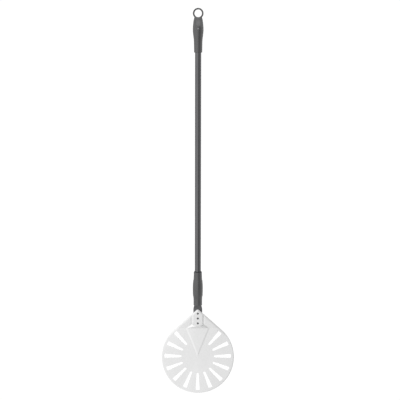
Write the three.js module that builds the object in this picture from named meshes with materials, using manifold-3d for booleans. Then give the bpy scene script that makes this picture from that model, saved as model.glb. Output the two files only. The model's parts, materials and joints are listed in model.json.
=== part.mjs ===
// A perforated pizza peel, hanging from the eye in the end of its handle.
//
// Millimetres. The origin is the centre of the hanging eye, +Z runs up the handle, and the face of
// the disc that carries the pizza looks towards -Y. Heights along the handle are measured up from
// the bend, the line where the neck of the sheet meets the disc.
import * as THREE from "three";
import { mergeVertices } from "three/addons/utils/BufferGeometryUtils.js";
import Module from "manifold-3d";

const wasm = await Module();
wasm.setup();

// ---- Driving dimensions ----

// The pressed sheet: a round disc with a pointed neck that is bent up from it.
const DISC_RADIUS = 115;
const SHEET = 1;
const BEND_HALF_WIDTH = 71;
const HANDLE_RISE = 8; // degrees between the neck and the plane of the disc
const NECK_POINT = 64.3; // height where the flanks of the neck would meet
const NECK_TIP_RADIUS = 5;

// Radial slots, with the middle one opposite the neck.
const SLOT_PITCH = 22.9; // degrees
const SLOT_START = 51.5; // radius
const SLOT_RIM = 9; // solid rim outside the slots
const SLOT_NARROW = 6.4;
const SLOT_WIDE = 13;
const SLOT_CORNER = 2.4;
const SLOT_NARROW_CORNER = 2.9;

// The spearhead: the channel of the neck widens at the bend and fades out at the disc's centre.
const SPEAR_HALF_WIDTH = 37;
const SPEAR_HEIGHT = 1.1;
const SPEAR_BEVEL = 4;
const CHANNEL_BEVEL = 4;
const CHANNEL_FLARE = 13; // height where the channel begins to widen
const TUBE_END_ROOM = 1; // the channel keeps its full height this far past the end of the tube

// The handle tube, pressed flat at its foot.
const BEND_TO_EYE = 980.5;
const TUBE_DIAMETER = 19;
const TUBE_WALL = 1.5;
const TUBE_FOOT = 8.5; // height of the flattened end
const FLAT_TOP = 62; // height where the flattened stretch ends
const ROUND_FOOT = 88; // height where the tube is round again
const TUBE_TOP_BELOW_EYE = 32;

// Rivets.
const NECK_RIVETS = 3;
const NECK_RIVET_FIRST = 17.4;
const NECK_RIVET_PITCH = 16;
const RIVET_SHANK = 2;
const RIVET_HEAD = 3.3;
const RIVET_DOME = 1.7;
const RIVET_TAIL = 2.9;
const RIVET_TAIL_DEPTH = 1.2;
const RIVET_BULB = 0.8; // how far a blind rivet's bulb stands out beyond its shank
const RIVET_BULB_DEPTH = 2;
const GRIP_RIVET_BELOW_EYE = 47;

// The sliding grip and its two bushes.
const SLEEVE_FOOT = 77; // height of its lower end at rest
const SLEEVE_LENGTH = 107.2;
const SLEEVE_MOUTH_ROOM = 0.55; // between the mouth of its bore and the flare of the tube
const SLEEVE_MOUTH_DEPTH = 5;
const SLEEVE_ROUNDING = 0.8; // at the outer edges of both ends
const SLEEVE_STEP = 0.75; // rise of the raised hand-hold above the ends of the sleeve
const STEP_RAMP = 0.2; // height over which the hand-hold steps up
const HAND_HOLD_FOOT = 29; // above the sleeve's lower end
const HAND_HOLD_TOP = 81;
const BUSH_WALL = 0.8;
const LOWER_BUSH_FOOT = 9.5; // above the sleeve's lower end
const BUSH_LENGTH = 12;
const FLANGE_WIDTH = 1.9;
const FLANGE_DEPTH = 1.5;

// The end grip and its eye.
const GRIP_LENGTH = 116.3; // eye centre to the lower end
const EYE_RADIUS = 11.2;
const EYE_STROKE = 5;
const EYE_DEPTH = 9;
const GRIP_ROUNDING = 0.9; // at the outer edge of its lower end
const GRIP_FLATTENS = -44; // height below the eye where its sides begin to flatten
const GRIP_FLAT = -14; // height below the eye where they are flattest
const GRIP_FLAT_DEPTH = 0.52; // its depth there as a share of its width

// Clearances.
const RUNNING = 0.3; // between pieces that slide or turn
const SEAT = 0.3; // between pieces fixed to each other
const RIVET_HOLE = 0.3;

// Facets.
const ROUND_STEPS = 36; // around a round piece
const RIVET_STEPS = 16;
const HOLE_STEPS = 20; // around a rivet's hole
const ARC_STEPS = 5; // in a rounded corner
const DISC_STEPS = 72; // along the disc's edge
const FLARE_STEPS = 8; // up the stretch where the tube turns round
const DOME_STEPS = 4; // from the rim of a rivet's dome to its top
const EYE_STEPS = 14; // around the stroke of the eye
const OUTLINE_STEP = 4.6; // height between points along the outline of a grip

// ---- Sizes that follow from them ----

const bendFromCentre = Math.sqrt(DISC_RADIUS ** 2 - BEND_HALF_WIDTH ** 2);
const tubeRadius = TUBE_DIAMETER / 2;
const flatThickness = 2 * TUBE_WALL;
const flatHalfWidth = (Math.PI * (TUBE_DIAMETER - flatThickness)) / 4 + TUBE_WALL;
const channelHeight = flatThickness + SEAT;
const sheetBack = flatThickness / 2; // the back of the sheet is flush with the flattened tube
const bushBore = tubeRadius + RUNNING;
const bushRadius = bushBore + BUSH_WALL;
const sleeveBore = bushRadius + RUNNING;
const socketRadius = tubeRadius + SEAT;

const spearAtBend = {
  y: 0,
  foot: SPEAR_HALF_WIDTH,
  top: SPEAR_HALF_WIDTH - SPEAR_BEVEL,
  height: SPEAR_HEIGHT,
};

// ---- Geometry helpers ----

function toSolid(geometry) {
  const bare = geometry.clone();
  bare.deleteAttribute("normal");
  bare.deleteAttribute("uv");
  const merged = mergeVertices(bare, 1e-4);
  const triVerts = new Uint32Array(merged.index.array);
  const vertProperties = merged.attributes.position.array;
  return new wasm.Manifold(new wasm.Mesh({ numProp: 3, vertProperties, triVerts }));
}

function toGeometry(solid) {
  const mesh = solid.getMesh();
  const geometry = new THREE.BufferGeometry();
  geometry.setAttribute("position", new THREE.BufferAttribute(mesh.vertProperties, 3));
  geometry.setIndex(new THREE.BufferAttribute(mesh.triVerts, 1));
  geometry.computeVertexNormals();
  return geometry;
}

/** A closed surface through convex rings of equal length, each counterclockwise seen from its far end. */
function loft(rings) {
  const count = rings[0].length;
  const index = [];
  for (let row = 0; row + 1 < rings.length; row++) {
    for (let i = 0; i < count; i++) {
      const a = row * count + i;
      const b = row * count + ((i + 1) % count);
      index.push(a, b, b + count, a, b + count, a + count);
    }
  }
  const last = (rings.length - 1) * count;
  for (let i = 1; i + 1 < count; i++) {
    index.push(0, i + 1, i);
    index.push(last, last + i, last + i + 1);
  }
  return new THREE.BufferGeometry().setFromPoints(rings.flat()).setIndex(index);
}

/** A solid turned about the Z axis from points (radius, height). */
function turned(profile, steps = ROUND_STEPS) {
  const points = profile.map(([radius, height]) => new THREE.Vector2(radius, height));
  return new THREE.LatheGeometry(points, steps).rotateX(Math.PI / 2);
}

function rod(radius, bottom, top, steps = ROUND_STEPS) {
  return turned([[0, bottom], [radius, bottom], [radius, top], [0, top]], steps);
}

/** The outline through corners [x, y, radius], with an arc of that radius in each corner. */
function roundedShape(corners) {
  const points = corners.flatMap(([x, y, radius], i) => {
    if (radius === 0) {
      return [new THREE.Vector2(x, y)];
    }
    const corner = new THREE.Vector2(x, y);
    const before = new THREE.Vector2(...corners.at(i - 1)).sub(corner).normalize();
    const after = new THREE.Vector2(...corners[(i + 1) % corners.length]).sub(corner).normalize();
    const half = Math.acos(before.dot(after)) / 2;
    const centre = before.clone().add(after).setLength(radius / Math.sin(half)).add(corner);
    const start = before.clone().multiplyScalar(radius / Math.tan(half)).add(corner).sub(centre);
    const end = after.clone().multiplyScalar(radius / Math.tan(half)).add(corner).sub(centre);
    const clockwise = before.cross(after) > 0;
    return arcPoints(centre.x, centre.y, radius, start.angle(), end.angle(), clockwise, ARC_STEPS);
  });
  return new THREE.Shape(points);
}

function arcPoints(x, y, radius, from, to, clockwise, steps) {
  return new THREE.EllipseCurve(x, y, radius, radius, from, to, clockwise).getPoints(steps);
}

function slab(shape, bottom, depth) {
  return new THREE.ExtrudeGeometry(shape, { depth, bevelEnabled: false }).translate(0, 0, bottom);
}

const ease = (x) => THREE.MathUtils.smoothstep(x, 0, 1);

// ---- The pressed head ----
// It is drawn flat, with the bend along X, Z = 0 on the back of the sheet and +Z towards the pizza.

/** Sections across a pressed rib: a trapezoid of given foot, top and height, from the sheet's back. */
function ribRings(stations, isPocket) {
  return stations.map(({ y, foot, top, height }) => {
    const inset = isPocket ? SHEET * Math.tan(Math.atan2(height, foot - top) / 2) : 0;
    const base = isPocket ? 0 : SHEET;
    const under = isPocket ? -SHEET : SHEET / 2;
    const half = [[foot - inset, under], [foot - inset, base], [top - inset, base + height]];
    const other = half.map(([x, z]) => [-x, z]).reverse();
    return [...half, ...other].map(([x, z]) => new THREE.Vector3(x, y, z));
  });
}

/** A sheet with a rib pressed into it: raised in front and hollow behind. */
function pressed(sheet, stations) {
  const rib = toSolid(loft(ribRings(stations, false)));
  const pocket = toSolid(loft(ribRings(stations, true)));
  return sheet.add(rib).subtract(pocket);
}

function slotShape(angle) {
  const sides = [
    [SLOT_NARROW / 2, SLOT_START, SLOT_NARROW_CORNER],
    [SLOT_WIDE / 2, DISC_RADIUS - SLOT_RIM, SLOT_CORNER],
    [-SLOT_WIDE / 2, DISC_RADIUS - SLOT_RIM, SLOT_CORNER],
    [-SLOT_NARROW / 2, SLOT_START, SLOT_NARROW_CORNER],
  ];
  const centre = new THREE.Vector2();
  const placed = sides.map(([x, y, radius]) => {
    const corner = new THREE.Vector2(x, -y).rotateAround(centre, angle);
    return [corner.x, corner.y - bendFromCentre, radius];
  });
  return roundedShape(placed);
}

/** Angles of the slots, from straight down to either side as far as the neck leaves room. */
function slotAngles() {
  const neckAngle = Math.asin(BEND_HALF_WIDTH / DISC_RADIUS);
  const slotAngle = Math.atan(SLOT_WIDE / 2 / (DISC_RADIUS - SLOT_RIM));
  const pitch = THREE.MathUtils.degToRad(SLOT_PITCH);
  const each = Math.floor((Math.PI - neckAngle - slotAngle) / pitch);
  return Array.from({ length: 2 * each + 1 }, (_, i) => (i - each) * pitch);
}

function discHalf() {
  const bendAngle = Math.asin(BEND_HALF_WIDTH / DISC_RADIUS);
  const left = Math.PI / 2 + bendAngle;
  const right = Math.PI / 2 - bendAngle;
  const outline = new THREE.Shape(arcPoints(0, -bendFromCentre, DISC_RADIUS, left, right, false, DISC_STEPS));
  outline.holes = slotAngles().map(slotShape);
  const atCentre = { y: -bendFromCentre, foot: 0.6, top: 0.1, height: 0.02 }; // a point, near enough
  const sheet = toSolid(slab(outline, 0, SHEET));
  return pressed(sheet, [spearAtBend, atCentre]).rotate([-HANDLE_RISE, 0, 0]);
}

function neckHalf() {
  const inset = SHEET * Math.tan(Math.atan2(channelHeight, CHANNEL_BEVEL) / 2);
  const top = flatHalfWidth + SEAT + inset;
  const channel = { foot: top + CHANNEL_BEVEL, top, height: channelHeight };
  const rampTop = TUBE_FOOT - TUBE_END_ROOM;
  const share = 1 - rampTop / CHANNEL_FLARE;
  const stations = [
    { y: NECK_POINT + 5, ...channel },
    { y: CHANNEL_FLARE, ...channel },
    {
      y: rampTop,
      foot: THREE.MathUtils.lerp(channel.foot, spearAtBend.foot, share),
      top: THREE.MathUtils.lerp(channel.top, spearAtBend.top, share),
      height: channelHeight,
    },
    spearAtBend,
  ];
  const reach = 2 * NECK_POINT;
  const blank = toSolid(new THREE.BoxGeometry(2 * reach, reach, SHEET).translate(0, reach / 2, SHEET / 2));
  const outline = roundedShape([
    [-BEND_HALF_WIDTH, 0, 0],
    [BEND_HALF_WIDTH, 0, 0],
    [0, NECK_POINT, NECK_TIP_RADIUS],
  ]);
  const trim = toSolid(slab(outline, -2 * SHEET, channelHeight + 4 * SHEET));
  return pressed(blank, stations).intersect(trim);
}

function neckRivetHeights() {
  return Array.from({ length: NECK_RIVETS }, (_, i) => NECK_RIVET_FIRST + i * NECK_RIVET_PITCH);
}

function headDisc() {
  let head = neckHalf().add(discHalf());
  for (const height of neckRivetHeights()) {
    const hole = rod(RIVET_SHANK + RIVET_HOLE, -SHEET, channelHeight + 2 * SHEET, HOLE_STEPS);
    head = head.subtract(toSolid(hole.translate(0, height, 0)));
  }
  return toGeometry(head);
}

// ---- The handle tube ----

/** The tube's outer thickness from front to back at a height. */
function tubeThickness(height) {
  const round = ease((height - FLAT_TOP) / (ROUND_FOOT - FLAT_TOP));
  return THREE.MathUtils.lerp(flatThickness, TUBE_DIAMETER, round);
}

/** Half the straight stretch of a section, which is two half circles joined by flats.
 *  Flattening keeps the length around the wall, so the section widens as it gets thinner. */
function tubeFlat(height) {
  return (Math.PI * (TUBE_DIAMETER - tubeThickness(height))) / 4;
}

/** A section of the tube, inset from its outside. */
function tubeRing(height, inset) {
  const flat = tubeFlat(height);
  const radius = tubeThickness(height) / 2 - inset;
  const half = ROUND_STEPS / 2;
  return Array.from({ length: ROUND_STEPS }, (_, i) => {
    const side = i < half ? 1 : -1;
    const angle = (((i % half) + 0.5) / half - 0.5) * Math.PI;
    const x = side * (flat + radius * Math.cos(angle));
    return new THREE.Vector3(x, side * radius * Math.sin(angle), height);
  });
}

function handleTube() {
  const top = BEND_TO_EYE - TUBE_TOP_BELOW_EYE;
  const flare = Array.from({ length: FLARE_STEPS + 1 }, (_, i) => {
    return THREE.MathUtils.lerp(FLAT_TOP, ROUND_FOOT, i / FLARE_STEPS);
  });
  const outside = [TUBE_FOOT, ...flare, top];
  const inside = [...flare.slice(1), top + 1];
  const skin = outside.map((height) => tubeRing(height, 0));
  const hollow = inside.map((height) => tubeRing(height, TUBE_WALL));
  let tube = toSolid(loft(skin)).subtract(toSolid(loft(hollow)));
  for (const height of neckRivetHeights()) {
    const hole = rod(RIVET_SHANK + RIVET_HOLE, -flatThickness, flatThickness, HOLE_STEPS);
    tube = tube.subtract(toSolid(hole.rotateX(Math.PI / 2).translate(0, 0, height)));
  }
  const gripHole = rod(RIVET_SHANK + RIVET_HOLE, 0, 2 * tubeRadius, HOLE_STEPS);
  const height = BEND_TO_EYE - GRIP_RIVET_BELOW_EYE;
  return toGeometry(tube.subtract(toSolid(gripHole.rotateX(Math.PI / 2).translate(0, 0, height))));
}

// ---- Rivets ----

/** Points (radius, height) over a low dome, from its rim to the axis. */
function dome(radius, rise, base) {
  const curve = (radius ** 2 + rise ** 2) / (2 * rise);
  const widest = Math.asin(radius / curve);
  return Array.from({ length: DOME_STEPS + 1 }, (_, i) => {
    const angle = widest * (1 - i / DOME_STEPS);
    return [curve * Math.sin(angle), base + rise - curve * (1 - Math.cos(angle))];
  });
}

/** A neck rivet, its axis along Z: the head rests on the channel and the tail on the tube's back. */
function neckRivet() {
  const headSeat = channelHeight + SHEET - sheetBack;
  const profile = [
    [0, -sheetBack - RIVET_TAIL_DEPTH],
    [RIVET_TAIL, -sheetBack - RIVET_TAIL_DEPTH],
    [RIVET_TAIL, -sheetBack],
    [RIVET_SHANK, -sheetBack],
    [RIVET_SHANK, headSeat],
    ...dome(RIVET_HEAD, RIVET_DOME, headSeat),
  ];
  return turned(profile, RIVET_STEPS).rotateX(Math.PI / 2);
}

/** The grip's blind rivet, its axis along Z: its head lies in the spot face of the end grip. */
function gripRivet(seat) {
  const bulb = RIVET_SHANK + RIVET_BULB;
  const bulbTop = Math.sqrt((tubeRadius - TUBE_WALL) ** 2 - bulb ** 2) - SEAT;
  const profile = [
    [0, bulbTop - RIVET_BULB_DEPTH],
    [bulb, bulbTop - RIVET_BULB_DEPTH],
    [bulb, bulbTop],
    [RIVET_SHANK, bulbTop],
    [RIVET_SHANK, seat],
    ...dome(RIVET_HEAD, RIVET_DOME, seat),
  ];
  return turned(profile, RIVET_STEPS).rotateX(Math.PI / 2);
}

// ---- The sliding grip ----

/** Radii along a smooth outline through points [height, wall], each wall added to a bore. */
function outline(bore, points) {
  const curve = new THREE.SplineCurve(points.map(([height, wall]) => new THREE.Vector2(bore + wall, height)));
  const steps = Math.ceil((points.at(-1)[0] - points[0][0]) / OUTLINE_STEP);
  return curve.getPoints(steps).map((point) => [point.x, point.y]);
}

// Walls of the sleeve over its bore, from its lower end to its upper end.
const footWall = 2.6;
const waistWall = 2.5;
const aboveWaistWall = 2.65;
const belowHoldWall = 3.4;
const holdWall = 4.9;
const upperHoldWall = 4.7;
const aboveHoldWall = 2.65;
const taperWall = 2;
const topWall = 1.65;

// Shares of the hand-hold's height where it has those walls.
const holdWidest = 0.42;
const holdUpper = 0.68;

function slidingGrip() {
  const lower = [
    [SLEEVE_ROUNDING, footWall],
    [HAND_HOLD_FOOT / 3, waistWall],
    [(HAND_HOLD_FOOT * 2) / 3, aboveWaistWall],
    [HAND_HOLD_FOOT, belowHoldWall],
  ];
  const holdLength = HAND_HOLD_TOP - HAND_HOLD_FOOT;
  const hold = [
    [HAND_HOLD_FOOT + STEP_RAMP, belowHoldWall + SLEEVE_STEP],
    [HAND_HOLD_FOOT + holdLength * holdWidest, holdWall],
    [HAND_HOLD_FOOT + holdLength * holdUpper, upperHoldWall],
    [HAND_HOLD_TOP - STEP_RAMP, aboveHoldWall + SLEEVE_STEP],
  ];
  const upper = [
    [HAND_HOLD_TOP, aboveHoldWall],
    [(HAND_HOLD_TOP + SLEEVE_LENGTH) / 2, taperWall],
    [SLEEVE_LENGTH - SLEEVE_ROUNDING, topWall],
  ];
  const flareHalfWidth = tubeFlat(SLEEVE_FOOT) + tubeThickness(SLEEVE_FOOT) / 2;
  const mouth = Math.max(sleeveBore, flareHalfWidth + SLEEVE_MOUTH_ROOM);
  const profile = [
    [mouth, 0],
    [sleeveBore + footWall - SLEEVE_ROUNDING / 2, 0],
    ...outline(sleeveBore, lower),
    ...outline(sleeveBore, hold),
    ...outline(sleeveBore, upper),
    [sleeveBore + topWall - SLEEVE_ROUNDING / 2, SLEEVE_LENGTH],
    [sleeveBore, SLEEVE_LENGTH],
    [sleeveBore, SLEEVE_MOUTH_DEPTH],
    [mouth, 0],
  ];
  return turned(profile);
}

function lowerBush() {
  const profile = [
    [bushBore, 0],
    [bushRadius, 0],
    [bushRadius, BUSH_LENGTH],
    [bushBore, BUSH_LENGTH],
    [bushBore, 0],
  ];
  return turned(profile);
}

/** The upper bush, measured from the sleeve's top, with a flange that covers the mouth of the bore. */
function upperBush() {
  const profile = [
    [bushBore, -BUSH_LENGTH],
    [bushRadius, -BUSH_LENGTH],
    [bushRadius, RUNNING],
    [bushBore + FLANGE_WIDTH, RUNNING],
    [bushBore + FLANGE_WIDTH, RUNNING + FLANGE_DEPTH],
    [bushBore, RUNNING + FLANGE_DEPTH],
    [bushBore, -BUSH_LENGTH],
  ];
  return turned(profile);
}

// ---- The end grip ----
// It is round where it grips the tube, and its sides flatten towards the eye.

const gripRimWall = 1.7;
const gripWidestWall = 6.4;
const gripWalls = [
  [-GRIP_LENGTH + GRIP_ROUNDING, 2.55],
  [-82, 3.3],
  [-68, 4.7],
  [-54, 6.25],
  [-44, gripWidestWall],
  [-33, 5.65],
  [-21, 4.1],
  [-14.5, 2.5],
  [-9.5, 1.5],
];

/** The share of its width that the grip keeps from front to back. */
function gripDepth(height) {
  const flatness = ease((height - GRIP_FLATTENS) / (GRIP_FLAT - GRIP_FLATTENS));
  return THREE.MathUtils.lerp(1, GRIP_FLAT_DEPTH, flatness);
}

function endGripBody() {
  const rim = [socketRadius + gripRimWall, -GRIP_LENGTH];
  const rings = [rim, ...outline(socketRadius, gripWalls)].map(([radius, height]) => {
    return Array.from({ length: ROUND_STEPS }, (_, i) => {
      const angle = (2 * Math.PI * i) / ROUND_STEPS;
      const depth = radius * gripDepth(height);
      return new THREE.Vector3(radius * Math.cos(angle), depth * Math.sin(angle), height);
    });
  });
  return toSolid(loft(rings));
}

function eyeRing() {
  const section = Array.from({ length: EYE_STEPS + 1 }, (_, i) => {
    const angle = (2 * Math.PI * i) / EYE_STEPS;
    const radius = EYE_RADIUS + (EYE_STROKE / 2) * (1 + Math.cos(angle));
    return [radius, (EYE_DEPTH / 2) * Math.sin(angle)];
  });
  return toSolid(turned(section).rotateX(Math.PI / 2));
}

/** The distance in front of the tube's axis where the head of the grip's rivet rests. */
function gripRivetSeat() {
  return socketRadius + gripWidestWall - RIVET_DOME / 2;
}

function endGrip() {
  const seat = gripRivetSeat();
  const eye = rod(EYE_RADIUS, -2 * EYE_DEPTH, 2 * EYE_DEPTH).rotateX(Math.PI / 2);
  const socket = rod(socketRadius, -GRIP_LENGTH - 1, -TUBE_TOP_BELOW_EYE + SEAT);
  const shankHole = rod(RIVET_SHANK + RIVET_HOLE, 0, 2 * seat, HOLE_STEPS);
  const spotFace = rod(RIVET_HEAD + RIVET_HOLE, seat, 2 * seat, HOLE_STEPS);
  const drilled = [shankHole, spotFace].map((hole) => {
    return toSolid(hole.rotateX(Math.PI / 2).translate(0, 0, -GRIP_RIVET_BELOW_EYE));
  });
  const body = endGripBody().subtract(toSolid(eye)).add(eyeRing()).subtract(toSolid(socket));
  return toGeometry(body.subtract(drilled[0]).subtract(drilled[1]));
}

// ---- Assembly ----

const brushedSteel = { color: 0xd9dad9, roughness: 0.38, metalness: 1 };
const anodisedAluminium = { color: 0x55585b, roughness: 0.35, metalness: 1 };
const darkRivet = { color: 0x3d3e40, roughness: 0.45, metalness: 1 };
const brightRivet = { color: 0xb4b6b8, roughness: 0.35, metalness: 1 };
const gripPlastic = { color: 0x4a4c4f, roughness: 0.6, metalness: 0 };
const bushPlastic = { color: 0x1d1e20, roughness: 0.5, metalness: 0 };

/** A named mesh with its own material, at a height above its group's origin. */
function piece(name, geometry, look, height = 0) {
  const mesh = new THREE.Mesh(geometry, new THREE.MeshStandardMaterial(look));
  mesh.name = name;
  mesh.position.z = height;
  return mesh;
}

const head = piece("head_disc", headDisc(), brushedSteel);
head.rotation.x = Math.PI / 2;
head.position.y = sheetBack;

const fromBend = new THREE.Group();
fromBend.position.z = -BEND_TO_EYE;
fromBend.add(
  head,
  piece("handle_tube", handleTube(), anodisedAluminium),
  piece("sliding_grip", slidingGrip(), gripPlastic, SLEEVE_FOOT),
  piece("lower_bush", lowerBush(), bushPlastic, SLEEVE_FOOT + LOWER_BUSH_FOOT),
  piece("upper_bush", upperBush(), bushPlastic, SLEEVE_FOOT + SLEEVE_LENGTH),
);
neckRivetHeights().forEach((height, i) => {
  fromBend.add(piece(`neck_rivet_${i + 1}`, neckRivet(), darkRivet, height));
});

const peel = new THREE.Group();
peel.name = "pizza_peel";
peel.add(
  fromBend,
  piece("end_grip", endGrip(), gripPlastic),
  piece("end_grip_rivet", gripRivet(gripRivetSeat()), brightRivet, -GRIP_RIVET_BELOW_EYE),
);

export default peel;
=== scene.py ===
import json
import math

import bmesh
import bpy
import numpy as np
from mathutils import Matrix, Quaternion, Vector


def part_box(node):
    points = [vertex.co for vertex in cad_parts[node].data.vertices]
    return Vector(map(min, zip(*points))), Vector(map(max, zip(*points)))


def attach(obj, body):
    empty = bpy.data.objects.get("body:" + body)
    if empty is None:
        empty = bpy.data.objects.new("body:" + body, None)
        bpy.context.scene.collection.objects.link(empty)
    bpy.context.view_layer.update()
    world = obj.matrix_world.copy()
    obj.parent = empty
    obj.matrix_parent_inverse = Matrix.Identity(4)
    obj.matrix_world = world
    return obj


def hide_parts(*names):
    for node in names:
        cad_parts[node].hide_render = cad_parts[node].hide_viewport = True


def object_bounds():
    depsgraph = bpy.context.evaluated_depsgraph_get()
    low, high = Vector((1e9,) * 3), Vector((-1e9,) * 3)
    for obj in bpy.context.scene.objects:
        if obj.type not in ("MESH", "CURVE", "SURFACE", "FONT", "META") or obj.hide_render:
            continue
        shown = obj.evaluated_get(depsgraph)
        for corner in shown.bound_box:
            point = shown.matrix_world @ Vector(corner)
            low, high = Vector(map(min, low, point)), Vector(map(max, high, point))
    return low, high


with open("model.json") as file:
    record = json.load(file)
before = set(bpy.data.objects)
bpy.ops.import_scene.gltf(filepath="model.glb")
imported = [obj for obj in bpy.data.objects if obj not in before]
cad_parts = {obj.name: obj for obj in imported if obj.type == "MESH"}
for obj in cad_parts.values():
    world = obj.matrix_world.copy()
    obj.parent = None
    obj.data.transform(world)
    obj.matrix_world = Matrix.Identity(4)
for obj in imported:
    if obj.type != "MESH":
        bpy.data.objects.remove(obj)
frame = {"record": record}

cad_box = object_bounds()

# ---- Head: the sheet that slides under the pizza ----
# One millimetre of stainless steel, blanked to a round disc with a pointed neck and radial slots.
# A press forms the channel for the handle, the flat spearhead below it and the rolled-back edges,
# and bends the neck up from the disc.

MM = 0.001
head_low, head_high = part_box("head_disc")
disc_radius = (head_high.x - head_low.x) / 2 / MM
bend_half_width = 71.0
bend_from_centre = math.sqrt(disc_radius**2 - bend_half_width**2)
neck_point = 64.3  # where the flanks of the neck would meet, above the bend
neck_tip_radius = 5.0
rise = math.radians(8)
bend_reach = 1.6  # half the length of the rounded bend
sheet = 1.0
sheet_back = head_high.y / MM
neck_half_angle = math.atan2(bend_half_width, neck_point)
neck_tip_centre = neck_point - neck_tip_radius / math.sin(neck_half_angle)
bend_height = head_high.z / MM - neck_tip_centre - neck_tip_radius

slot_pitch = math.radians(22.9)
slots_each_side = 6
slot_rim = 9.0  # of unbroken sheet outside the slots
slot_start, slot_end = 51.5, disc_radius - slot_rim
slot_narrow, slot_wide = 3.2, 6.5  # half widths
slot_inner_corner, slot_outer_corner = 2.9, 2.4
slot_closing = 0.4  # over which the end of a slot closes


def slot_half_angle(radius):
    """Half the angle that a slot takes at a radius: a straight taper, less a quarter circle in each corner,
    and each end closes on an ellipse, so that the outline is one smooth line."""
    inner, outer = radius - slot_start, slot_end - radius
    taper = slot_narrow + (slot_wide - slot_narrow) * inner / (slot_end - slot_start)
    width = taper
    for depth, corner in ((inner, slot_inner_corner), (outer, slot_outer_corner)):
        rest = np.clip(corner - depth, 0, corner)
        closing = 1 - np.clip(depth / slot_closing, 0, 1)
        flat = (width - corner) * np.sqrt(1 - closing**2)
        width = np.where(depth < corner, flat + np.sqrt(corner**2 - rest**2), width)
    return np.where((inner <= 0) | (outer <= 0), 0.0, width) / np.maximum(radius, 1.0)


def ramp(t, corner):
    """0 below t = 0, 1 above t = 1 and a straight line between, with a parabola two corners long at
    each end."""
    def lower(s):
        return np.clip(s + corner, 0, 2 * corner) ** 2 / (4 * corner) + np.maximum(s - corner, 0)
    return lower(t) - lower(t - 1)


channel_foot = 17.7  # half width of the channel at its foot
channel_height = 3.3
spear_foot, spear_wall, spear_height = 37.0, 4.0, 0.3
flare_top = 13.0
wall_swell, swell_shift, wall_loss = 3.0, 1.6, 1.2  # what the wall gains on the slant, where, and loses
step_start, step_length, step_easing = 0.6, 6.6, 0.2  # of the rise from the spearhead to the channel
easing = 0.3  # at both ends of the other pressed slopes
flank_roll_depth, flank_roll_width = 0.8, 7.0
rim_roll_depth, rim_roll_width = 0.3, 2.6
crease_depth, crease_start, crease_length = 0.3, -2.0, 4.5
groove_depth, groove_start, groove_run_in = 0.22, 6.0, 6.0
groove_middle, groove_half_width = 1.6, 3.6  # out from the foot of the channel


def rib_edges(y):
    """Half widths of the pressed rib at its top and at its foot, and the width of the wall between them.
    Below the bend the foot shrinks in proportion to the distance from the disc's centre, and the wall is
    constant. Above it the foot closes in a straight line on the channel's. There the wall is the wall at the
    bend times one plus three times a sine that peaks two thirds of the way up, which keeps its slope soft on
    the slant, less an amount that grows in proportion to the height."""
    share = np.clip(1 + y / bend_from_centre, 0, 1)
    flare = np.clip(y / flare_top, 0, 1)
    foot = np.where(y < 0, spear_foot * share, spear_foot + (channel_foot - spear_foot) * flare)
    wall = spear_wall * (1 + wall_swell * np.sin(np.pi * flare**swell_shift)) - wall_loss * flare
    return np.maximum(foot - wall, 0), foot, wall


def flank(y):
    """Half width of the neck: a straight taper, then the circle of its rounded tip."""
    straight = bend_half_width * (1 - y / neck_point)
    tip = np.sqrt(np.clip(neck_tip_radius**2 - (y - neck_tip_centre) ** 2, 0, None))
    turn = neck_tip_centre + neck_tip_radius * math.sin(neck_half_angle)
    return np.where(y > turn, tip, straight)


def sheet_front(x, y):
    """Height of the sheet's face over its flat back: its thickness, plus the rib, whose wall is an eased ramp
    from foot to top, whose height steps up from the spearhead to the channel just above the bend and which
    fades where it reaches less than a millimetre to each side, plus a crease that sets the disc forward at
    the bend, less a shallow rounded groove beside the foot of the channel, and less the roll of the flanks
    and of the rim, which grows with the square of the nearness to the edge."""
    foot, width = rib_edges(y)[1:]
    wall = ramp((foot - np.abs(x)) / width, easing) * np.clip(foot, 0, 1)
    step = ramp((y - step_start) / step_length, step_easing)
    height = spear_height + (channel_height - spear_height) * step
    edge = np.hypot(bend_half_width, neck_point)
    area = bend_half_width * neck_point - neck_point * np.abs(x) - bend_half_width * y
    flank_roll = flank_roll_depth * np.clip(1 - area / edge / flank_roll_width, 0, 1) ** 2
    from_rim = disc_radius - np.hypot(x, y + bend_from_centre)
    rim_roll = np.where(y <= 0, rim_roll_depth * np.clip(1 - from_rim / rim_roll_width, 0, 1) ** 2, 0)
    crease = crease_depth * (1 - ramp((y - crease_start) / crease_length, easing))
    bowl = np.clip(1 - ((np.abs(x) - foot - groove_middle) / groove_half_width) ** 2, 0, 1) ** 2
    groove = groove_depth * ramp((y - groove_start) / groove_run_in, easing) * bowl
    return sheet + height * wall + crease - groove - np.maximum(flank_roll, rim_roll)


def bent(x, y, height):
    """Places the flat sheet on the object. The neck stands upright, the disc leans forward by the rise,
    and between them the sheet follows an arc of a circle that touches both."""
    past_start = bend_reach - y
    radius = 2 * bend_reach / rise
    angle = np.clip(past_start / radius, 0, rise)
    before = np.minimum(past_start, 0)
    beyond = np.maximum(past_start - 2 * bend_reach, 0)
    up = bend_reach - before - radius * np.sin(angle) - beyond * math.cos(rise)
    forward = radius * (1 - np.cos(angle)) + beyond * math.sin(rise)
    up = up + height * np.sin(angle)
    forward = forward + height * np.cos(angle)
    return np.stack([x, sheet_back - forward, bend_height + up], -1)


def grid_faces(rows, columns, first=0):
    """Quads between neighbouring rows and columns of a grid of points."""
    index = first + np.arange(rows * columns).reshape(rows, columns)
    corners = (index[:-1, :-1], index[:-1, 1:], index[1:, 1:], index[1:, :-1])
    return np.stack(corners, -1).reshape(-1, 4)


merge_within, sliver_within = 2e-6, 1e-6  # metres


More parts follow.
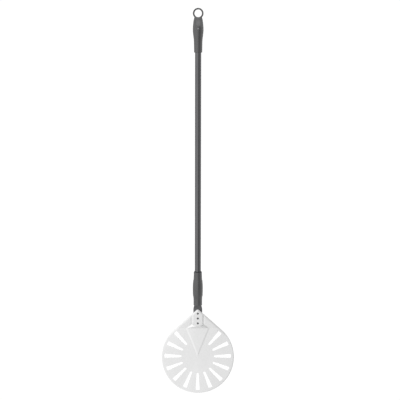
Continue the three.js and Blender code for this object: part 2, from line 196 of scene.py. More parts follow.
def surface(name, grids, faces_out=None):
    """An object from grids of points in millimetres. Equal points are merged, which closes seams and poles.
    Its faces turn towards faces_out where that is given, and away from the inside where it isn't."""
    points = np.concatenate([g.reshape(-1, 3) for g in grids]) * MM
    starts = np.cumsum([0] + [g.shape[0] * g.shape[1] for g in grids[:-1]])
    faces = np.concatenate([grid_faces(*g.shape[:2], s) for g, s in zip(grids, starts)])
    mesh = bpy.data.meshes.new(name)
    mesh.from_pydata(points, [], faces)
    work = bmesh.new()
    work.from_mesh(mesh)
    bmesh.ops.remove_doubles(work, verts=work.verts, dist=merge_within)
    bmesh.ops.dissolve_degenerate(work, edges=work.edges, dist=sliver_within)
    if faces_out is None:
        bmesh.ops.recalc_face_normals(work, faces=work.faces)
    elif sum((f.normal * f.calc_area() for f in work.faces), Vector()).dot(faces_out) < 0:
        bmesh.ops.reverse_faces(work, faces=work.faces)
    work.to_mesh(mesh)
    work.free()
    piece = bpy.data.objects.new(name, mesh)
    bpy.context.scene.collection.objects.link(piece)
    return piece


def finished(piece, sharp=35):
    """The piece with its modifiers made part of its mesh, smooth but for edges sharper than this many
    degrees."""
    bpy.context.view_layer.update()
    shown = piece.evaluated_get(bpy.context.evaluated_depsgraph_get())
    mesh = bpy.data.meshes.new_from_object(shown)
    piece.modifiers.clear()
    old, piece.data = piece.data, mesh
    bpy.data.meshes.remove(old)
    mesh.name = piece.name
    mesh.shade_smooth()
    mesh.set_sharp_from_angle(angle=math.radians(sharp))
    return piece


# The disc is a fan of columns round its centre. Beside a slot a column follows the slot's edge.
inner_rows = np.linspace(0, slot_start - 2, 17)
inner_end = slot_start + np.array([0, 0.08, 0.2, 0.4, 0.7, 1.1, 1.6, 2.2, 2.9])
outer_end = slot_end - np.array([2.4, 1.8, 1.2, 0.8, 0.5, 0.3, 0.18, 0.08, 0])
between = np.linspace(inner_end[-1], outer_end[0], 18)[1:-1]
rim_rows = disc_radius - np.array([7.5, 5.5, 4, 3, 2.6, 2.1, 1.6, 1.1, 0.7, 0.3, 0])
radii = np.concatenate([inner_rows, inner_end, between, outer_end, rim_rows])

across = (1 - np.cos(np.pi * np.linspace(0, 1, 15))) / 2
sector_starts = np.arange(-slots_each_side, slots_each_side)[:, None] * slot_pitch
sector_base = (sector_starts + across * slot_pitch).ravel()
sector_side = np.tile(1 - 2 * across, 2 * slots_each_side)

wall_from, wall_to = 18.4, 23.6  # degrees from the neck's middle between which the spearhead's wall lies
follow_from = 34.5  # degrees from which the columns begin to follow the first slot
last_slot = math.pi - slots_each_side * slot_pitch
neck_corner = math.asin(bend_half_width / disc_radius)
half_columns = np.concatenate([
    np.radians(np.linspace(0, wall_from, 20)),
    np.radians(np.linspace(wall_from, wall_to, 23))[1:],
    np.radians(np.linspace(wall_to, follow_from, 13))[1:],
    np.linspace(math.radians(follow_from), neck_corner, 12)[1:],
    np.linspace(neck_corner, last_slot, 8)[1:],
])
neck_base = np.concatenate([half_columns[::-1], -half_columns[1:]])
follow_start = math.radians(follow_from)
follow = np.clip((half_columns - follow_start) / (last_slot - follow_start), 0, 1)
neck_side = np.concatenate([follow[::-1], -follow[1:]])

base = np.concatenate([sector_base, math.pi - neck_base])
side = np.concatenate([sector_side, neck_side])
from_neck = np.abs(math.pi - base)
reach = np.where(from_neck < neck_corner, bend_from_centre / np.cos(np.minimum(from_neck, 1)), disc_radius)
radius = radii[:, None] / disc_radius * reach
angle = base + side * slot_half_angle(radius)
disc_x, disc_y = radius * np.sin(angle), -bend_from_centre - radius * np.cos(angle)
disc = bent(disc_x, disc_y, sheet_front(disc_x, disc_y))
sectors = np.split(disc, np.arange(1, 2 * slots_each_side + 1) * len(across), axis=1)

# The neck is rows across its width. Each column keeps its place between the rib's lines and the flank.
tip_rows_from = 3.0  # above the centre of the tip, from where the rows follow its circle
tip_angles = np.linspace(math.asin(tip_rows_from / neck_tip_radius), math.pi / 2, 10)
neck_rows = np.concatenate([
    np.linspace(0, 7, 22), np.linspace(7, 16, 12)[1:], np.linspace(16, 44, 14)[1:],
    np.linspace(44, neck_tip_centre + tip_rows_from, 16)[1:],
    neck_tip_centre + neck_tip_radius * np.sin(tip_angles)[1:],
])
inside_top, outside_foot = 2.2, 5.2  # lines beside the rib's wall, the outer one at the groove's edge
top_line, foot_line = rib_edges(neck_rows)[:2]
half_width = flank(neck_rows)
lines = np.stack([
    0 * top_line, top_line - inside_top, top_line, foot_line, foot_line + outside_foot, half_width,
])
fits = np.minimum(lines, half_width * np.array([0, 0.55, 0.68, 0.82, 0.92, 1])[:, None])
lines = np.where(lines[4] < half_width, lines, fits)
starts = bend_from_centre * np.tan(half_columns[half_columns <= neck_corner + 1e-9])
columns = np.stack([np.interp(starts, lines[:, 0], line) for line in lines.T])
neck_x = np.hstack([columns[:, ::-1], -columns[:, 1:]])
neck_y = np.repeat(neck_rows[:, None], neck_x.shape[1], 1)
neck = bent(neck_x, neck_y, sheet_front(neck_x, neck_y))

head = surface("pressed_head", [*sectors, neck], faces_out=Vector((0, -1, 0)))
thickness = head.modifiers.new("wall", "SOLIDIFY")
thickness.thickness, thickness.offset, thickness.use_quality_normals = sheet * MM, -1, True
finished(head, sharp=40)


def linear(code):
    """An sRGB hex colour as linear red, green, blue and alpha."""
    parts = [(code >> shift & 255) / 255 for shift in (16, 8, 0)]
    return [p / 12.92 if p <= 0.04045 else ((p + 0.055) / 1.055) ** 2.4 for p in parts] + [1]


def add(tree, kind, inputs={}, **settings):
    """A shader node of that kind, with its settings, and each input set to a value or linked to an output."""
    made = tree.nodes.new("ShaderNode" + kind)
    for key, value in settings.items():
        setattr(made, key, value)
    for key, value in inputs.items():
        if isinstance(value, bpy.types.NodeSocket):
            tree.links.new(value, made.inputs[key])
        else:
            made.inputs[key].default_value = value
    return made


def new_material(name):
    """An empty material and its tree, ready for a shader to be linked to the output."""
    made = bpy.data.materials.new(name)
    made.use_nodes = True
    made.node_tree.nodes.clear()
    return made, made.node_tree


# Stainless steel with a fine belt-ground grain along the handle: a soft, even grey sheen, with no clear
# reflections. Use leaves faint smears and hair scratches, and the slots' punched edges catch the light.
# The real grain is about 0.1 mm across, too fine to show, so it is drawn 0.7 mm across.
brushed_steel, tree = new_material("belt_ground_stainless_steel")
place = add(tree, "TexCoord").outputs["Object"]
grain_scale = add(tree, "Mapping", {"Vector": place, "Scale": (1 / 0.0007, 1 / 0.0007, 1 / 0.045)})
grain = add(tree, "TexNoise", {"Vector": grain_scale.outputs[0], "Scale": 1.0, "Detail": 3.0,
                               "Roughness": 0.6})
smear_scale = add(tree, "Mapping", {"Vector": place, "Scale": (14, 14, 9), "Rotation": (0, 0.4, 0)})
smear = add(tree, "TexNoise", {"Vector": smear_scale.outputs[0], "Scale": 1.0, "Detail": 4.0,
                               "Distortion": 0.6})
scratch_scale = add(tree, "Mapping", {"Vector": place, "Scale": (1 / 0.0016, 1 / 0.0016, 1 / 0.11),
                                      "Rotation": (0, 0.24, 0)})
scratch = add(tree, "TexNoise", {"Vector": scratch_scale.outputs[0], "Scale": 1.0, "Detail": 2.0})
scratch_line = add(tree, "MapRange", {"Value": scratch.outputs[0], "From Min": 0.68, "From Max": 0.74})
grain_tone = add(tree, "MapRange", {"Value": grain.outputs[0], "From Min": 0.3, "From Max": 0.7})
tone = add(tree, "Mix", {0: grain_tone.outputs[0], 6: linear(0xECECEC), 7: linear(0xF2F2F2)},
           data_type="RGBA")
worn = add(tree, "MapRange", {"Value": smear.outputs[0], "From Min": 0.35, "From Max": 0.75, "To Max": 0.35})
smeared = add(tree, "Mix", {0: worn.outputs[0], 6: tone.outputs[2], 7: linear(0xE4E4E4)}, data_type="RGBA")
scratched = add(tree, "Math", {0: scratch_line.outputs[0], 1: 0.25}, operation="MULTIPLY")
colour = add(tree, "Mix", {0: scratched.outputs[0], 6: smeared.outputs[2], 7: linear(0xFBFBFB)},
             data_type="RGBA")
matt = add(tree, "MapRange", {"Value": smear.outputs[0], "From Min": 0.3, "From Max": 0.7,
                              "To Min": 0.34, "To Max": 0.42})
ridges = add(tree, "Math", {0: grain.outputs[0], 1: scratch_line.outputs[0]}, operation="SUBTRACT")
relief = add(tree, "Bump", {"Height": ridges.outputs[0], "Strength": 0.12, "Distance": 0.00005})
shader = add(tree, "BsdfPrincipled", {"Base Color": colour.outputs[2], "Metallic": 1.0,
                                      "Roughness": matt.outputs[0], "Normal": relief.outputs[0]})
add(tree, "OutputMaterial", {"Surface": shader.outputs[0]})
head.data.materials.append(brushed_steel)
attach(head, "handle")
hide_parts("head_disc")

# ---- Handle tube ----
# Drawn aluminium tube, 19 mm across with a 1.5 mm wall, anodised dark grey. Its foot is pressed flat
# between dies, which closes it to a hairline seam, and it lies in the channel of the head.

tube_low, tube_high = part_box("handle_tube")
tube_radius = (tube_high.y - tube_low.y) / 2 / MM
tube_wall = 1.5
tube_foot, tube_top = tube_low.z / MM, tube_high.z / MM
flat_top, round_foot = bend_height + 62, bend_height + 88  # the flattened foot grows round between them
foot_rounding, end_rounding, plug_depth = 0.1, 0.4, 3.0


def tube_section(height, inset=0.0, pinch=0.0, count=72):
    """Rings of points, one a height. A ring is two half circles joined by flats: its thickness eases from two
    walls to the full diameter, and the flats make up the length around the wall that the circles lose.
    Inset moves it in all round, and pinch closes it front to back."""
    height, inset, pinch = (np.atleast_1d(v)[:, None] * 1.0 for v in (height, inset, pinch))
    t = np.clip((height - flat_top) / (round_foot - flat_top), 0, 1)
    thickness = 2 * tube_wall + (2 * tube_radius - 2 * tube_wall) * (3 * t**2 - 2 * t**3)
    flat = math.pi * (2 * tube_radius - thickness) / 4
    angle = np.linspace(0, 2 * math.pi, count + 1)
    r = thickness / 2 - inset
    x = np.sign(np.cos(angle)) * (np.abs(np.cos(angle)) > 1e-9) * flat + r * np.cos(angle)
    return np.stack([x, (r - pinch) * np.sin(angle), height + 0 * angle], -1)


tube_heights = np.concatenate([
    tube_foot + np.array([0.12, 0.35, 1, 4, 10]), np.linspace(tube_foot + 20, flat_top, 6),
    np.linspace(flat_top, round_foot, 34)[1:],
    np.linspace(round_foot, tube_top - end_rounding, 40)[1:], [tube_top],
])
tube_insets = np.where(tube_heights < tube_foot + 0.3, foot_rounding, 0)
tube_insets[-1] = end_rounding
seam_heights = tube_foot + np.array([2.4, 0.5, 0.05, 0, 0])
seam_insets, seam_pinches = [0.3, 0.3, 0.3, 0.3, 0.22], [1.19, 1.15, 1.05, 0.8, 0]
seam = tube_section(seam_heights, seam_insets, seam_pinches)
shut = seam[:1].copy()
shut[..., 1] = 0
crown = tube_section(tube_top, tube_wall)
bore_end = crown - np.array([0, 0, plug_depth])
plug = bore_end.copy()
plug[..., :2] = 0
tube_rings = np.concatenate([shut, seam, tube_section(tube_heights, tube_insets), crown, bore_end, plug])
tube = finished(surface("handle_tube_anodised", [tube_rings]))

# Dark grey anodised aluminium: the colour sits in a clear, glassy skin over drawn metal, so it has a satin
# metal sheen with long die lines, and fine rubbed marks where the grip slides. The die lines are drawn 0.5 mm
# apart, several times their real width.
anodised, tree = new_material("dark_grey_anodised_aluminium")
place = add(tree, "TexCoord").outputs["Object"]
line_scale = add(tree, "Mapping", {"Vector": place, "Scale": (1 / 0.0005, 1 / 0.0005, 1 / 0.3)})
die_lines = add(tree, "TexNoise", {"Vector": line_scale.outputs[0], "Scale": 1.0, "Detail": 2.0})
mottle = add(tree, "TexNoise", {"Vector": place, "Scale": 60.0, "Detail": 4.0, "Roughness": 0.6})
rub_scale = add(tree, "Mapping", {"Vector": place, "Scale": (180, 180, 3.2)})
rubbing = add(tree, "TexNoise", {"Vector": rub_scale.outputs[0], "Scale": 1.0, "Detail": 5.0,
                                 "Roughness": 0.65})
rubbed = add(tree, "MapRange", {"Value": rubbing.outputs[0], "From Min": 0.52, "From Max": 0.78,
                                "To Max": 0.4})
skin = add(tree, "Mix", {0: mottle.outputs[0], 6: linear(0x626264), 7: linear(0x6A6A6B)}, data_type="RGBA")
colour = add(tree, "Mix", {0: rubbed.outputs[0], 6: skin.outputs[2], 7: linear(0x7C7C7D)}, data_type="RGBA")
gloss = add(tree, "MapRange", {"Value": die_lines.outputs[0], "From Min": 0.3, "From Max": 0.7,
                               "To Min": 0.18, "To Max": 0.26})
relief = add(tree, "Bump", {"Height": die_lines.outputs[0], "Strength": 0.15, "Distance": 0.00004})
shader = add(tree, "BsdfPrincipled", {"Base Color": colour.outputs[2], "Metallic": 1.0,
                                      "Roughness": gloss.outputs[0], "Normal": relief.outputs[0]})
add(tree, "OutputMaterial", {"Surface": shader.outputs[0]})
tube.data.materials.append(anodised)
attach(tube, "handle")
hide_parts("handle_tube")

# ---- Neck rivets ----
# Three solid steel rivets with low domed heads, blackened. They pass through the channel and the flattened
# tube, and their tails are set flat on the tube's back.


def turned(profile, count):
    """The surface that a profile of (radius, height) makes as it goes once round the Z axis."""
    angle = np.linspace(0, 2 * math.pi, count + 1)
    radius, height = np.array(profile, float).T[:, :, None]
    return np.stack([radius * np.cos(angle), radius * np.sin(angle), height + 0 * angle], -1)


def rivet_profile(head_radius, rise_of_head, seat, tail):
    """From the tail's profile, up the shank to the seat, over a small flat edge and along the arc of a circle
    that gives a head of this radius and rise."""
    curve = (head_radius**2 + rise_of_head**2) / (2 * rise_of_head)
    sweep = np.linspace(math.asin(head_radius / curve) * 0.97, 0, 14)
    dome = np.stack([curve * np.sin(sweep), seat + rise_of_head - curve * (1 - np.cos(sweep))], -1)
    edge = [(tail[-1][0], seat), (head_radius - 0.1, seat), (head_radius, seat + 0.1)]
    return np.concatenate([tail, edge, dome])


def facing_front(points, z):
    """Turns points from the Z axis to an axis that looks towards the front, at a height on the handle."""
    return np.stack([points[..., 0], -points[..., 2], z + points[..., 1]], -1)


shank, rivet_head, rivet_dome = 2.0, 3.3, 1.7  # two radii and the rise of the head
tail_radius, tail_depth, seat_gap = 2.9, 1.2, 0.02
neck_tail = [(0, -sheet_back - tail_depth), (2.5, -sheet_back - tail_depth), (2.8, -sheet_back - 1.05),
             (tail_radius, -sheet_back - 0.7), (tail_radius, -sheet_back - seat_gap),
             (shank, -sheet_back - seat_gap)]
neck_seat = channel_height + sheet - sheet_back + seat_gap
neck_profile = rivet_profile(rivet_head, rivet_dome, neck_seat, neck_tail)

# Steel with a worn black oxide: dark grey and slightly oily, rubbed to bare grey on the top of the dome.
blackened, tree = new_material("black_oxide_steel")
place = add(tree, "TexCoord").outputs["Object"]
speckle = add(tree, "TexNoise", {"Vector": place, "Scale": 900.0, "Detail": 3.0, "Roughness": 0.6})
height = add(tree, "SeparateXYZ", {0: place})
proud = -(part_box("neck_rivet_1")[0].y)
rubbed = add(tree, "MapRange", {"Value": height.outputs[1], "From Min": -proud + 0.0008, "From Max": -proud,
                                "To Max": 0.8})
patchy = add(tree, "Math", {0: rubbed.outputs[0], 1: speckle.outputs[0]}, operation="MULTIPLY")
colour = add(tree, "Mix", {0: patchy.outputs[0], 6: linear(0x5E5F60), 7: linear(0x949596)}, data_type="RGBA")
relief = add(tree, "Bump", {"Height": speckle.outputs[0], "Strength": 0.2, "Distance": 0.0001})
shader = add(tree, "BsdfPrincipled", {"Base Color": colour.outputs[2], "Metallic": 1.0, "Roughness": 0.42,
                                      "Normal": relief.outputs[0]})
add(tree, "OutputMaterial", {"Surface": shader.outputs[0]})
for number in (1, 2, 3):
    low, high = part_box(f"neck_rivet_{number}")
    points = facing_front(turned(neck_profile, 40), (low.z + high.z) / 2 / MM)
    rivet = finished(surface(f"neck_rivet_{number}_domed", [points]))
    rivet.data.materials.append(blackened)
    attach(rivet, "handle")
    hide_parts(f"neck_rivet_{number}")

# ---- Bushes of the sliding grip ----
# Two thin black acetal bushes line the sliding grip and run on the tube. The upper one has a flange, which
# shows as a dark line over the grip's top edge.

running_gap, bush_outside, bush_edge, flange_height = 0.3, 1.1, 0.2, 1.5
bush_bore, bush_radius = tube_radius + running_gap, tube_radius + bush_outside
lower_low, lower_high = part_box("lower_bush")
upper_low, upper_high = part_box("upper_bush")
flange_radius = (upper_high.x - upper_low.x) / 2 / MM
lower_z = (lower_low.z / MM, lower_high.z / MM)
upper_z = (upper_low.z / MM, upper_high.z / MM)
flange_foot = upper_z[1] - flange_height
lower_profile = [
    (bush_bore, lower_z[0] + bush_edge), (bush_bore + bush_edge, lower_z[0]),
    (bush_radius - bush_edge, lower_z[0]), (bush_radius, lower_z[0] + bush_edge),
    (bush_radius, lower_z[1] - bush_edge), (bush_radius - bush_edge, lower_z[1]),
    (bush_bore + bush_edge, lower_z[1]), (bush_bore, lower_z[1] - bush_edge),
    (bush_bore, lower_z[0] + bush_edge),
]
upper_profile = [
    (bush_bore, upper_z[0] + bush_edge), (bush_bore + bush_edge, upper_z[0]),
    (bush_radius - bush_edge, upper_z[0]), (bush_radius, upper_z[0] + bush_edge),
    (bush_radius, flange_foot), (flange_radius - 0.1, flange_foot), (flange_radius, flange_foot + 0.1),
    (flange_radius, upper_z[1] - 0.45), (flange_radius - 0.13, upper_z[1] - 0.15),
    (flange_radius - 0.45, upper_z[1]), (bush_bore + 0.3, upper_z[1]), (bush_bore, upper_z[1] - 0.3),
    (bush_bore, upper_z[0] + bush_edge),
]

# Black acetal, injection moulded: dense black with a waxy, low sheen, and faint flow marks round it.
acetal, tree = new_material("black_acetal")
place = add(tree, "TexCoord").outputs["Object"]
flow_scale = add(tree, "Mapping", {"Vector": place, "Scale": (120, 120, 900)})
flow = add(tree, "TexNoise", {"Vector": flow_scale.outputs[0], "Scale": 1.0, "Detail": 3.0})
colour = add(tree, "Mix", {0: flow.outputs[0], 6: linear(0x151617), 7: linear(0x242527)}, data_type="RGBA")
waxy = add(tree, "MapRange", {"Value": flow.outputs[0], "From Min": 0.3, "From Max": 0.7,
                              "To Min": 0.38, "To Max": 0.5})
relief = add(tree, "Bump", {"Height": flow.outputs[0], "Strength": 0.1, "Distance": 0.0001})
shader = add(tree, "BsdfPrincipled", {"Base Color": colour.outputs[2], "Roughness": waxy.outputs[0],
                                      "IOR": 1.48, "Normal": relief.outputs[0]})
add(tree, "OutputMaterial", {"Surface": shader.outputs[0]})
for name, node, profile in (("lower_bush_turned", "lower_bush", lower_profile),
                            ("upper_bush_flanged", "upper_bush", upper_profile)):
    bush = finished(surface(name, [turned(profile, 96)]))
    bush.data.materials.append(acetal)
    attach(bush, "grip_bushes")
    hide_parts(node)

# ---- Sliding grip ----
# A sleeve moulded in charcoal polypropylene. Its middle is a raised, crowned hand-hold with a small step at
# each end. It fits loosely over the two bushes: it turns on them, and they slide with it along the tube.

sleeve_low, sleeve_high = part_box("sliding_grip")
sleeve_foot, sleeve_top = sleeve_low.z / MM, sleeve_high.z / MM
sleeve_bore = bush_radius + running_gap
hold_foot, hold_top = 29.0, 81.0  # of the hand-hold, above the sleeve's lower end


def smooth_line(points, count):
    """A curve through points (height, wall): each stretch is a cubic whose slope at a point is that of the
    line between the point's two neighbours."""
    points = np.array(points, float)
    ends = np.concatenate([[2 * points[0] - points[1]], points, [2 * points[-1] - points[-2]]])
    slopes = (ends[2:] - ends[:-2]) / 2
    at = np.linspace(0, len(points) - 1, count)
    i = np.minimum(at.astype(int), len(points) - 2)
    t = (at - i)[:, None]
    blend = 3 * t**2 - 2 * t**3
    return (points[i] * (1 - blend) + points[i + 1] * blend
            + slopes[i] * (t - 2 * t**2 + t**3) + slopes[i + 1] * (t**3 - t**2))


def rounded(corner, start, end, count=5):
    """Points on a curve from start to end that bulges towards a corner: the parabola that the three give."""
    t = np.linspace(0, 1, count)[:, None]
    corner, start, end = (np.array(p, float) for p in (corner, start, end))
    return start * (1 - t) ** 2 + 2 * corner * t * (1 - t) + end * t**2


sleeve_length = sleeve_top - sleeve_foot
sleeve_rounding, foot_wall, top_wall = 0.9, 2.6, 1.65
# Walls over the bore, as (height above the sleeve's lower end, wall).
lower_walls = [
    (sleeve_rounding, foot_wall), (hold_foot / 3, 2.5), (hold_foot * 2 / 3, 2.65), (hold_foot - 0.25, 3.38),
]
hold_walls = [(hold_foot + 0.7, 4.2), (40, 4.7), (50.8, 4.9), (64.4, 4.7), (74, 4.1), (hold_top - 0.7, 3.5)]
upper_walls = [(hold_top + 0.25, 2.64), (94, 2.0), (sleeve_length - sleeve_rounding, top_wall)]
outside = np.concatenate([
    rounded((0, foot_wall), (0, 1.8), (sleeve_rounding, foot_wall)), smooth_line(lower_walls, 24)[1:],
    rounded((hold_foot, 4.17), (hold_foot, 3.45), (hold_foot + 0.7, 4.2)), smooth_line(hold_walls, 44)[1:],
    rounded((hold_top, 3.45), (hold_top - 0.7, 3.5), (hold_top, 2.74))[1:], smooth_line(upper_walls, 20),
    rounded((sleeve_length, top_wall), (sleeve_length - sleeve_rounding, top_wall),
            (sleeve_length, 0.9))[1:],
])
mouth_wall, mouth_rounding, mouth_depth = 0.8, 0.35, 5
sleeve_profile = np.concatenate([
    [(sleeve_bore + mouth_wall - mouth_rounding, 0)], outside[:, ::-1] + [sleeve_bore, 0],
    [(sleeve_bore, sleeve_length), (sleeve_bore, mouth_depth),
     (sleeve_bore + mouth_wall - mouth_rounding, 0)],
]) + [0, sleeve_foot]
sleeve = finished(surface("sliding_grip_sleeve", [turned(sleeve_profile, 128)]), sharp=40)


def moulded_grip(name, seam_width):
    """Charcoal polypropylene, moulded in a spark-eroded tool and polished by hands: a fine-pebbled surface
    with a clear satin sheen and a hair-thin raised parting line down both sides. The pebbles are drawn 0.9 mm
    apart, three times their real size, so that they show at all. The index of refraction is 1.9, higher than
    the plastic's own 1.49, for a stronger sheen."""
    made, tree = new_material(name)
    place = add(tree, "TexCoord").outputs["Object"]
    pebbles = add(tree, "TexNoise", {"Vector": place, "Scale": 1100.0, "Detail": 3.0, "Roughness": 0.55})
    cloud = add(tree, "TexNoise", {"Vector": place, "Scale": 45.0, "Detail": 4.0, "Roughness": 0.6})
    parts = add(tree, "SeparateXYZ", {0: place})
    off_seam = add(tree, "Math", {0: parts.outputs[1]}, operation="ABSOLUTE")
    seam_line = add(tree, "MapRange", {"Value": off_seam.outputs[0], "From Min": seam_width,
                                       "From Max": seam_width / 3})
    body = add(tree, "Mix", {0: cloud.outputs[0], 6: linear(0x252526), 7: linear(0x303031)}, data_type="RGBA")
    tips = add(tree, "MapRange", {"Value": pebbles.outputs[0], "From Min": 0.45, "From Max": 0.75,
                                  "To Max": 0.3})
    worn = add(tree, "Mix", {0: tips.outputs[0], 6: body.outputs[2], 7: linear(0x4E4E4F)}, data_type="RGBA")
    pale_seam = add(tree, "Math", {0: seam_line.outputs[0], 1: 0.35}, operation="MULTIPLY")
    colour = add(tree, "Mix", {0: pale_seam.outputs[0], 6: worn.outputs[2], 7: linear(0x686869)},
                 data_type="RGBA")
    dry = add(tree, "MapRange", {"Value": cloud.outputs[0], "From Min": 0.3, "From Max": 0.7,
                                 "To Min": 0.25, "To Max": 0.33})
    ridge = add(tree, "Math", {0: seam_line.outputs[0], 1: 2.0, 2: pebbles.outputs[0]},
                operation="MULTIPLY_ADD")
    relief = add(tree, "Bump", {"Height": ridge.outputs[0], "Strength": 0.35, "Distance": 0.0001})
    shader = add(tree, "BsdfPrincipled", {"Base Color": colour.outputs[2], "Roughness": dry.outputs[0],
                                          "IOR": 1.9, "Normal": relief.outputs[0]})
    add(tree, "OutputMaterial", {"Surface": shader.outputs[0]})
    return made


grip_plastic = moulded_grip("charcoal_polypropylene", 0.00035)
sleeve.data.materials.append(grip_plastic)
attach(sleeve, "sliding_grip")
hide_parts("sliding_grip")

# ---- End grip and hanging eye ----
# Moulded in the same charcoal polypropylene. It is a bulb that fills the hand, with a blind socket for the
# tube, and it flattens to a neck that carries a round eye. One blind rivet holds it to the tube.

grip_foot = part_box("end_grip")[0].z / MM
socket_gap = 0.3
socket_radius = tube_radius + socket_gap
eye_radius, eye_stroke, eye_depth = 11.2, 5.0, 9.0
socket_top = tube_top + socket_gap
neck_top = -11.6
grip_rounding, rim_wall, mouth_edge, bulb_wall = 0.9, 2.55, 1.6, 6.4
flatten_from, flatten_length, flatten_share = -44.0, 30.0, 0.48  # the depth the grip loses towards its neck
eye_run_from, eye_run_length, eye_run_share = -18.0, 6.0, 0.08  # and where it runs into the eye
grip_walls = [
    (grip_foot + grip_rounding, rim_wall), (-82, 3.3), (-68, 4.7), (-54, 6.25), (-44, bulb_wall),
    (-33, 5.65), (-21, 4.1),
    (-14.5, 2.5), (neck_top, 1.85),
]


def grip_skin(rows, columns):
    """The grip below its eye: ellipses on a smooth outline. Their depth eases from their full width at the
    bulb to half of it at the neck, and a little less where they run into the eye."""
    line = np.concatenate([
        rounded((grip_foot, rim_wall), (grip_foot, mouth_edge), (grip_foot + grip_rounding, rim_wall)),
        smooth_line(grip_walls, rows)[1:],
    ])
    height, radius = line[:, 0], line[:, 1] + socket_radius
    t = np.clip((height - flatten_from) / flatten_length, 0, 1)
    run = np.clip((height - eye_run_from) / eye_run_length, 0, 1)
    flatness = 1 - flatten_share * (3 * t**2 - 2 * t**3) - eye_run_share * run**2
    angle = np.linspace(0, 2 * math.pi, columns + 1)
    x, y = radius[:, None] * np.cos(angle), (radius * flatness)[:, None] * np.sin(angle)
    return np.stack([x, y, height[:, None] + 0 * angle], -1)


def eye_ring(around, across_ring):
    """The eye: an ellipse, deeper than it is wide, carried round a circle that faces the front."""
    turn = np.linspace(0, 2 * math.pi, around + 1)[:, None]
    cross = np.linspace(0, 2 * math.pi, across_ring + 1)[None, :]
    r = eye_radius + eye_stroke / 2 * (1 + np.cos(cross))
    return np.stack([r * np.sin(turn), eye_depth / 2 * np.sin(cross) + 0 * turn, r * np.cos(turn)], -1)


skin_grid = grip_skin(90, 96)
bore_profile = [
    (0, socket_top), (socket_radius, socket_top), (socket_radius, grip_foot),
    (socket_radius + mouth_edge, grip_foot),
]
bore_grid = turned(bore_profile, 96)
lid = skin_grid[-1:].copy()
lid[..., :2] = 0
grip = surface("end_grip_moulded", [np.concatenate([bore_grid, skin_grid[1:], lid]), eye_ring(120, 40)])
fuse = grip.modifiers.new("fuse", "REMESH")
fuse.mode, fuse.voxel_size, fuse.use_smooth_shade = "VOXEL", 0.00045, True
fair = grip.modifiers.new("fair", "SMOOTH")
fair.factor, fair.iterations = 0.5, 10
finished(grip, sharp=50)

rivet_low, rivet_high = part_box("end_grip_rivet")
rivet_z = (rivet_low.z + rivet_high.z) / 2 / MM
spot_depth, spot_radius, spot_edge, spot_wall = 0.85, 3.6, 0.5, 3  # of the face under the rivet's head
grip_seat = socket_radius + bulb_wall - spot_depth
spots = np.zeros(len(grip.data.vertices) * 3)
grip.data.vertices.foreach_get("co", spots)
spots = spots.reshape(-1, 3) / MM
off_axis = np.hypot(spots[:, 0], spots[:, 2] - rivet_z)
spot_floor = -grip_seat - np.clip((off_axis - spot_radius) / spot_edge, 0, 1) * spot_wall
spots[:, 1] = np.where(spots[:, 1] < -socket_radius, np.maximum(spots[:, 1], spot_floor), spots[:, 1])
grip.data.vertices.foreach_set("co", (spots * MM).ravel())
grip.data.update()
grip.data.materials.append(grip_plastic)
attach(grip, "handle")
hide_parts("end_grip")

# Its rivet is aluminium and left bright. The domed head lies in a shallow spot face in the front of the bulb.
grip_tail = [(0, 4.5), (2.6, 4.5), (2.8, 4.8), (2.8, 6.3), (2.5, 6.7), (shank, 6.8)]
bright_profile = rivet_profile(rivet_head, rivet_dome, grip_seat + seat_gap, grip_tail)
bright_points = facing_front(turned(bright_profile, 40), rivet_z)
bright = finished(surface("end_grip_rivet_domed", [bright_points]))

# Bare aluminium, cold formed: mid-grey and satin, with a thin haze of oxide, and light against the grip.
aluminium, tree = new_material("bare_aluminium")
place = add(tree, "TexCoord").outputs["Object"]
haze = add(tree, "TexNoise", {"Vector": place, "Scale": 700.0, "Detail": 3.0})
colour = add(tree, "Mix", {0: haze.outputs[0], 6: linear(0x7A7A7B), 7: linear(0x8C8C8F)}, data_type="RGBA")
satin = add(tree, "MapRange", {"Value": haze.outputs[0], "From Min": 0.3, "From Max": 0.7,
                               "To Min": 0.28, "To Max": 0.4})
shader = add(tree, "BsdfPrincipled", {"Base Color": colour.outputs[2], "Metallic": 1.0,
                                      "Roughness": satin.outputs[0]})
add(tree, "OutputMaterial", {"Surface": shader.outputs[0]})
bright.data.materials.append(aluminium)
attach(bright, "handle")
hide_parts("end_grip_rivet")

# ---- Studio ----
# A pale floor well below the peel, a tall softbox to its left and a wide one overhead. The camera sees plain
# white, but the peel reflects a grey room, bright left of the camera, dark just right of it and dim behind
# the peel, which gives round pieces a light and a dark side.

floor_height = -3.0  # metres
floor_grid = np.array([[(-3, -0.3), (3, -0.3)], [(-3, 1), (3, 1)]], float)
floor_points = np.concatenate([floor_grid, np.full((2, 2, 1), floor_height)], -1) / MM
floor = surface("floor", [floor_points], faces_out=Vector((0, 0, 1)))
pale, tree = new_material("pale_floor_paint")
place = add(tree, "TexCoord").outputs["Object"]
unevenness = add(tree, "TexNoise", {"Vector": place, "Scale": 2.0, "Detail": 2.0})
colour = add(tree, "Mix", {0: unevenness.outputs[0], 6: linear(0xF4F4F4), 7: linear(0xFAFAFA)},
             data_type="RGBA")
shader = add(tree, "BsdfPrincipled", {"Base Color": colour.outputs[2], "Roughness": 0.9,
                                      "Emission Color": linear(0xFFFFFF), "Emission Strength": 0.2})
add(tree, "OutputMaterial", {"Surface": shader.outputs[0]})
floor.data.materials.append(pale)

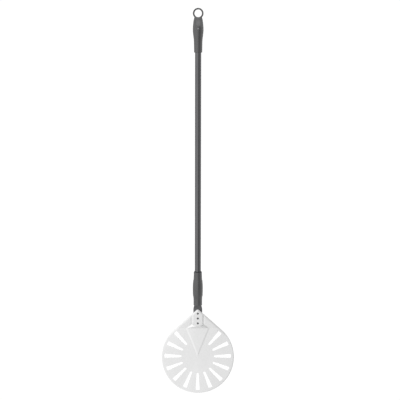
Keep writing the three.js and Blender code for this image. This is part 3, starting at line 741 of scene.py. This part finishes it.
world = bpy.data.worlds.new("white_room")
bpy.context.scene.world = world
world.use_nodes = True
tree = world.node_tree
tree.nodes.clear()
heading = add(tree, "TexCoord").outputs["Generated"]
parts = add(tree, "SeparateXYZ", {0: heading})
front = add(tree, "Math", {0: parts.outputs[1], 1: -1.0}, operation="MULTIPLY")
turn = add(tree, "Math", {0: parts.outputs[0], 1: front.outputs[0]}, operation="ARCTAN2")
round_room = add(tree, "MapRange", {"Value": turn.outputs[0], "From Min": -math.pi, "From Max": math.pi})
walls = add(tree, "ValToRGB", {0: round_room.outputs[0]})
# Brightness of the room as (share of a turn, level): from behind the peel, by its left, the camera and its
# right, to behind it again.
stops = [(0.0, 0.28), (0.06, 0.24), (0.12, 0.12), (0.17, 0.32), (0.20, 0.44), (0.29, 0.44), (0.35, 0.40),
         (0.44, 0.48), (0.49, 0.49), (0.52, 0.26), (0.54, 0.17), (0.58, 0.17), (0.63, 0.20), (0.68, 0.26),
         (0.72, 0.36), (0.84, 0.40), (0.90, 0.12), (0.95, 0.24), (1.0, 0.28)]
elements = walls.color_ramp.elements
elements.remove(elements[1])
elements[0].color = (stops[0][1],) * 3 + (1,)
for position, value in stops[1:]:
    elements.new(position).color = (value, value, value, 1)
steepness = add(tree, "Math", {0: parts.outputs[2]}, operation="ABSOLUTE")
over_flag = add(tree, "MapRange", {"Value": steepness.outputs[0], "From Min": 0.3, "From Max": 0.6})
light = add(tree, "Mix", {0: over_flag.outputs[0], 6: walls.outputs[0], 7: (0.38, 0.38, 0.38, 1)},
            data_type="RGBA")
lift = add(tree, "Math", {0: parts.outputs[2], 1: 0.5, 2: 2.5}, operation="MULTIPLY_ADD")
room = add(tree, "Background", {"Color": light.outputs[2], "Strength": lift.outputs[0]})
backdrop = add(tree, "Background", {"Color": (1, 1, 1, 1), "Strength": 1.05})
seen = add(tree, "LightPath")
both = add(tree, "MixShader", {0: seen.outputs["Is Camera Ray"], 1: room.outputs[0], 2: backdrop.outputs[0]})
add(tree, "OutputWorld", {"Surface": both.outputs[0]})


def softbox(name, place, aim, width, height, power):
    """A rectangular area light at a place, turned towards an aim."""
    light = bpy.data.lights.new(name, "AREA")
    light.shape, light.size, light.size_y, light.energy = "RECTANGLE", width, height, power
    lamp = bpy.data.objects.new(name, light)
    lamp.location = place
    lamp.rotation_euler = (Vector(aim) - Vector(place)).to_track_quat("-Z", "Y").to_euler()
    bpy.context.scene.collection.objects.link(lamp)


middle = (cad_box[0] + cad_box[1]) / 2
softbox("tall_softbox_left", (-1.84, -1.54, middle.z + 0.1), middle, 0.9, 2.0, 2)
softbox("overhead_softbox", (0, -0.6, 1.9), middle, 2.5, 2.5, 11)

# ---- Camera ----
# Square on to the face of the disc, which puts it a little above the level of the handle, and rolled by a
# tenth of a degree, so that the handle leans very slightly.

aim_above_mount, aim_to_right = 0.020 + 0.4992, 0.0064  # metres
camera_distance = 2.5
camera_roll = math.radians(0.1)

top_mount = next(m for m in frame["record"]["mounts"] if m["name"] == "disc_top")
mount_place, out = Vector(top_mount["pos_m"]), Vector(top_mount["axis"]).normalized()
up = Vector((0, -out.z, 0)) + Vector((0, 0, 1)) * abs(out.y)
up = (up - out * up.dot(out)).normalized()
aim = mount_place + up * aim_above_mount + Vector((aim_to_right, 0, 0))
lens = bpy.data.cameras.new("camera")
lens.sensor_width, lens.lens = 36, 70.65
camera = bpy.data.objects.new("camera", lens)
camera.location = aim + out * camera_distance
turned_to_peel = (-out).to_track_quat("-Z", "Y")
camera.rotation_euler = (turned_to_peel @ Quaternion((0, 0, 1), camera_roll)).to_euler()
bpy.context.scene.collection.objects.link(camera)
bpy.context.scene.camera = camera
bpy.context.scene.view_settings.view_transform = "Standard"
